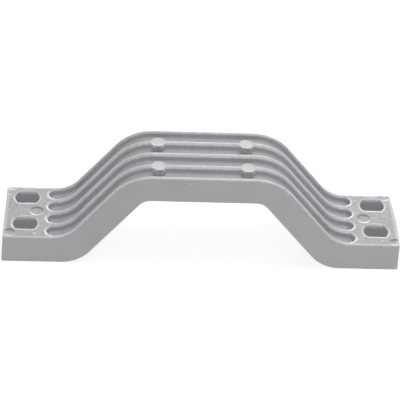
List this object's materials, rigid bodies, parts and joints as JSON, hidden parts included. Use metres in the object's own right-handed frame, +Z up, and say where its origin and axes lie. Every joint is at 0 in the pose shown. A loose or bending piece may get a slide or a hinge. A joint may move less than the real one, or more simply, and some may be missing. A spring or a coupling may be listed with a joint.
{
  "type": "sacrificial anode",
  "caption": "Cast sacrificial bar anode: a raised, grooved bridge between slotted bolt-down feet, fastened to a boat's hull or outboard bracket to corrode in its place.",
  "frame": {"origin": "middle of the bar, on the plane that both feet rest on", "axes": "+X along the bar, +Y across it from the front to the back, +Z up, out of the feet"},
  "size_m": [0.2128, 0.0458, 0.0563],
  "materials": {
    "casting": "bare die casting, dull light grey with a fine sandy grain"
  },
  "bodies": {
    "root": {"anode_casting": "casting"}
  },
  "joints": []
}
